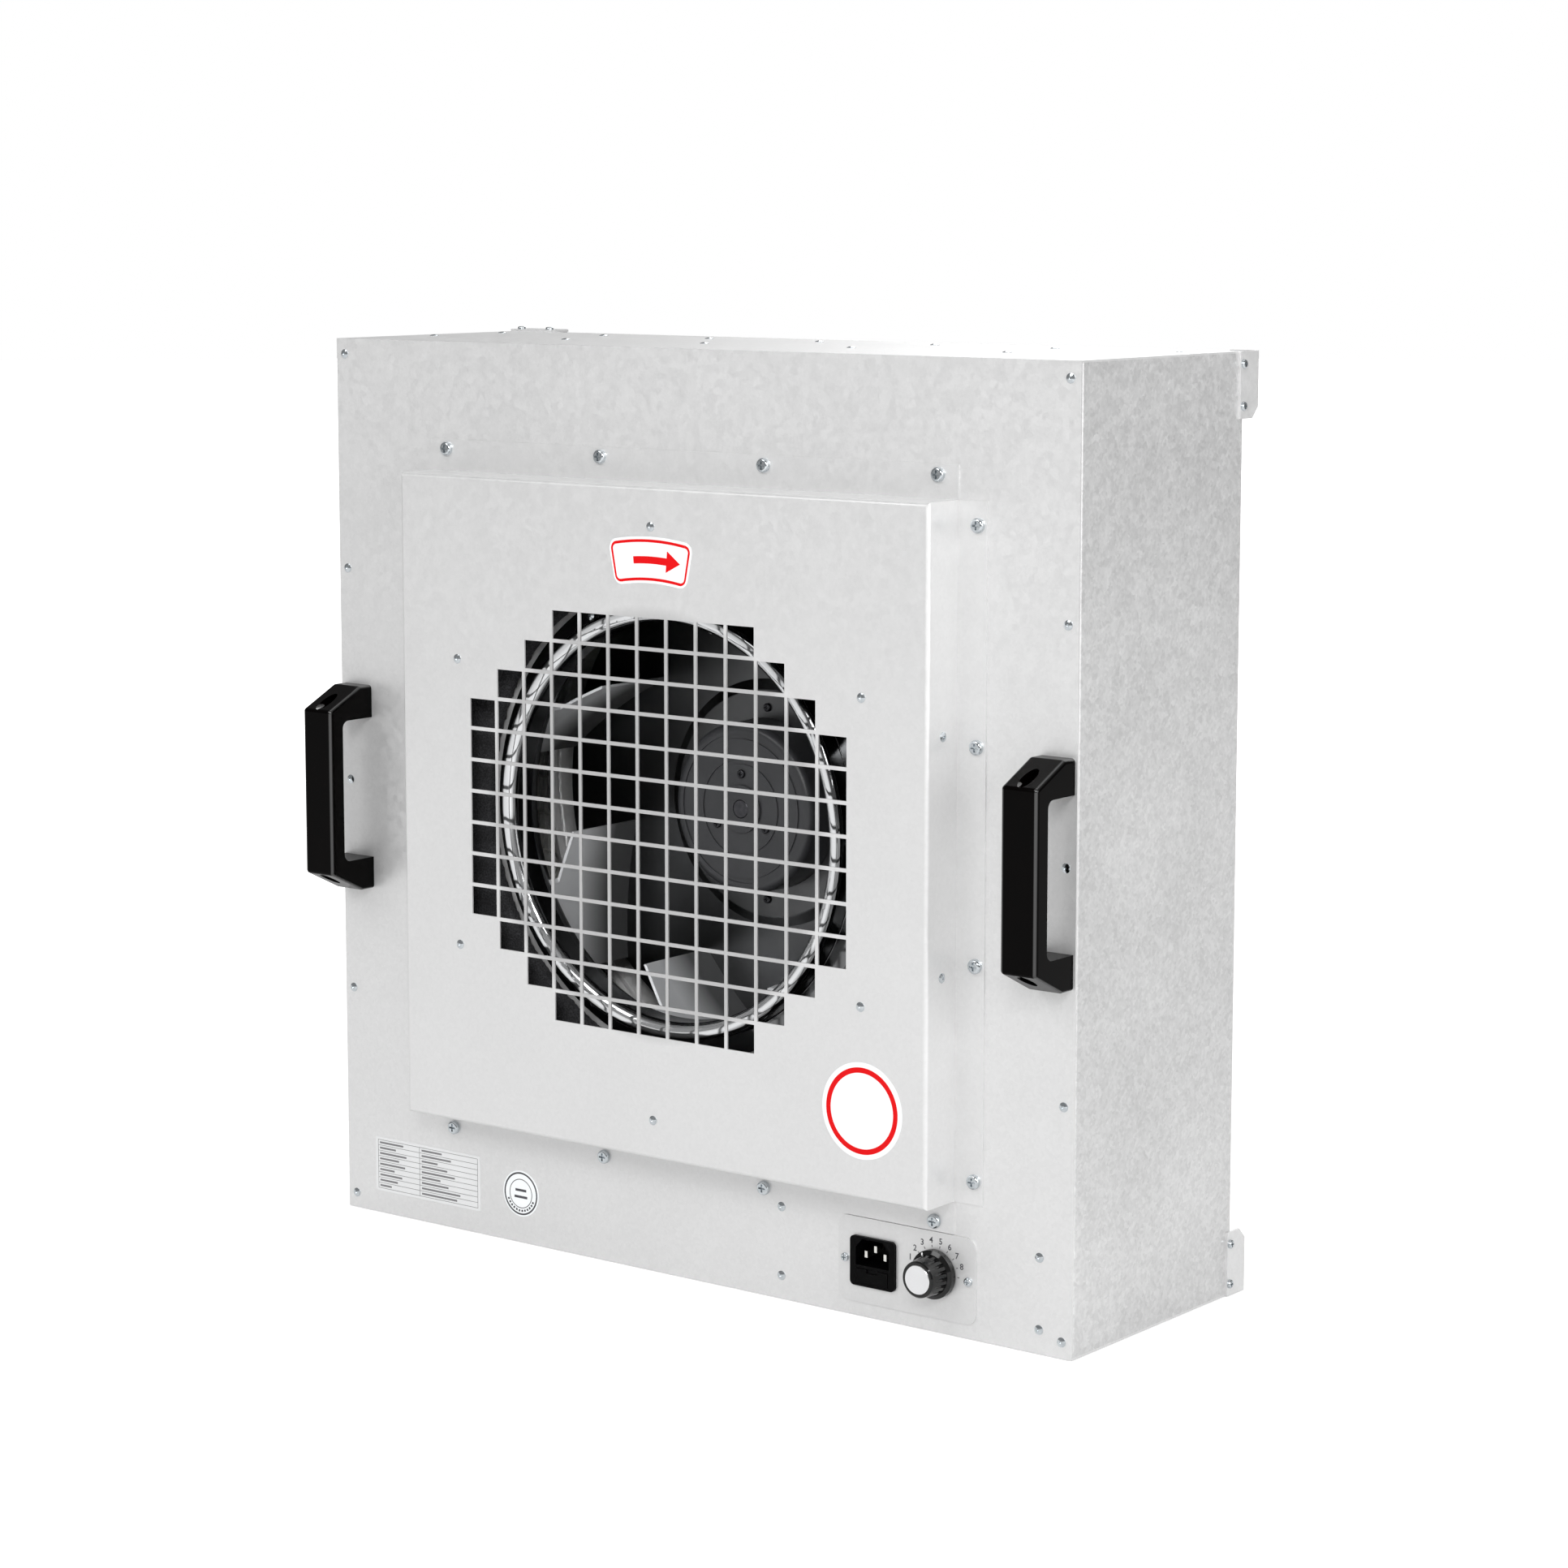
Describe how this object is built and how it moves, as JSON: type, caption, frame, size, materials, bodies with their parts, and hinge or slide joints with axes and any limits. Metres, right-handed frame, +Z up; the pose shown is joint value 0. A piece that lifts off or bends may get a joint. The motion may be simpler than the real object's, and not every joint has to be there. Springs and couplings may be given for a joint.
{
  "type": "fan filter unit",
  "caption": "Square sheet-metal fan filter unit: grilled inlet cover over a centrifugal fan, speed knob and power inlet in front, carrying handles, pleated filter at the back.",
  "frame": {"origin": "middle of the casing's bottom face, which it stands on", "axes": "+Z up, +X right as seen from the inlet side, +Y from the inlet to the filter's outlet"},
  "size_m": [0.5816, 0.2285, 0.5783],
  "materials": {
    "sheet_metal": "aluminium-zinc coated sheet with a fine mottled spangle",
    "black_foam": "open-cell acoustic foam",
    "bright_aluminium": "spun bright",
    "impeller_metal": "mill finish",
    "motor_black": "satin black enamel",
    "core_steel": "machined",
    "copper": "varnished copper wire",
    "bearing_steel": "ground",
    "zinc_screws": "bright zinc plate",
    "black_screws": "black oxide",
    "gloss_black": "glossy moulded nylon",
    "black_plastic": "fine matt",
    "pin_metal": "nickel plate",
    "silver_cap": "turned face",
    "fuse_glass": "clear with plated caps",
    "component_blue": "moulded",
    "capacitor_white": "moulded can",
    "board_green": "solder mask",
    "filter_aluminium": "anodised extrusion",
    "guard_white": "white powder coat",
    "filter_paper": "glass-fibre paper",
    "gasket_rubber": "closed-cell strip",
    "label_white": "satin film",
    "print_red": "printed red"
  },
  "bodies": {
    "root": {"front_panel": "sheet_metal", "top_panel": "sheet_metal", "bottom_panel": "sheet_metal", "side_panel_left": "sheet_metal", "side_panel_right": "sheet_metal", "inlet_cover": "sheet_metal", "control_plate": "sheet_metal", "control_box": "sheet_metal", "filter_clips": "sheet_metal", "panel_stiffeners": "sheet_metal", "fan_deck": "sheet_metal", "motor_plate": "sheet_metal", "seat_frame": "sheet_metal", "inlet_foam": "black_foam", "side_foam": "black_foam", "inlet_ring": "bright_aluminium", "stator_base": "motor_black", "stator_core": "core_steel", "fan_posts": "core_steel", "stator_windings": "copper", "bearing_front": "bearing_steel", "bearing_rear": "bearing_steel", "plate_screws": "zinc_screws", "small_screws": "zinc_screws", "cover_screws": "zinc_screws", "blind_rivets": "zinc_screws", "potentiometer_nut": "zinc_screws", "handle_screws": "black_screws", "handle_left": "gloss_black", "handle_right": "gloss_black", "power_inlet": "black_plastic", "motor_lead": "black_plastic", "inlet_pins": "pin_metal", "speed_potentiometer": "component_blue", "terminal_block": "component_blue", "capacitor": "capacitor_white", "speed_module": "board_green", "filter_frame": "filter_aluminium", "filter_guard": "guard_white", "filter_media": "filter_paper", "filter_gasket": "gasket_rubber", "rating_label": "label_white", "qc_sticker": "label_white", "arrow_label": "label_white", "round_label": "label_white", "arrow_print": "print_red", "ring_print": "print_red"},
    "rotor": {"motor_shaft": "core_steel", "rotor_cup": "motor_black", "impeller_backplate": "impeller_metal", "impeller_blades": "impeller_metal", "impeller_shroud": "impeller_metal", "impeller_screws": "zinc_screws"},
    "knob": {"speed_knob": "black_plastic", "knob_cap": "silver_cap", "potentiometer_shaft": "silver_cap"},
    "fuse_drawer": {"fuse_drawer": "black_plastic", "fuses": "fuse_glass"}
  },
  "joints": [
    {"name": "rotor_spin", "type": "hinge", "parent": "root", "child": "rotor", "pos_m": [0, 0, 0.2875], "axis": [0, 1, 0], "continuous": true},
    {"name": "knob_turn", "type": "hinge", "parent": "root", "child": "knob", "pos_m": [0.192, -0.098, 0.036], "axis": [0, 1, 0], "range_deg": [-135, 135]},
    {"name": "drawer_slide", "type": "slide", "parent": "root", "child": "fuse_drawer", "axis": [0, -1, 0], "range_m": [0, 0.018]}
  ]
}
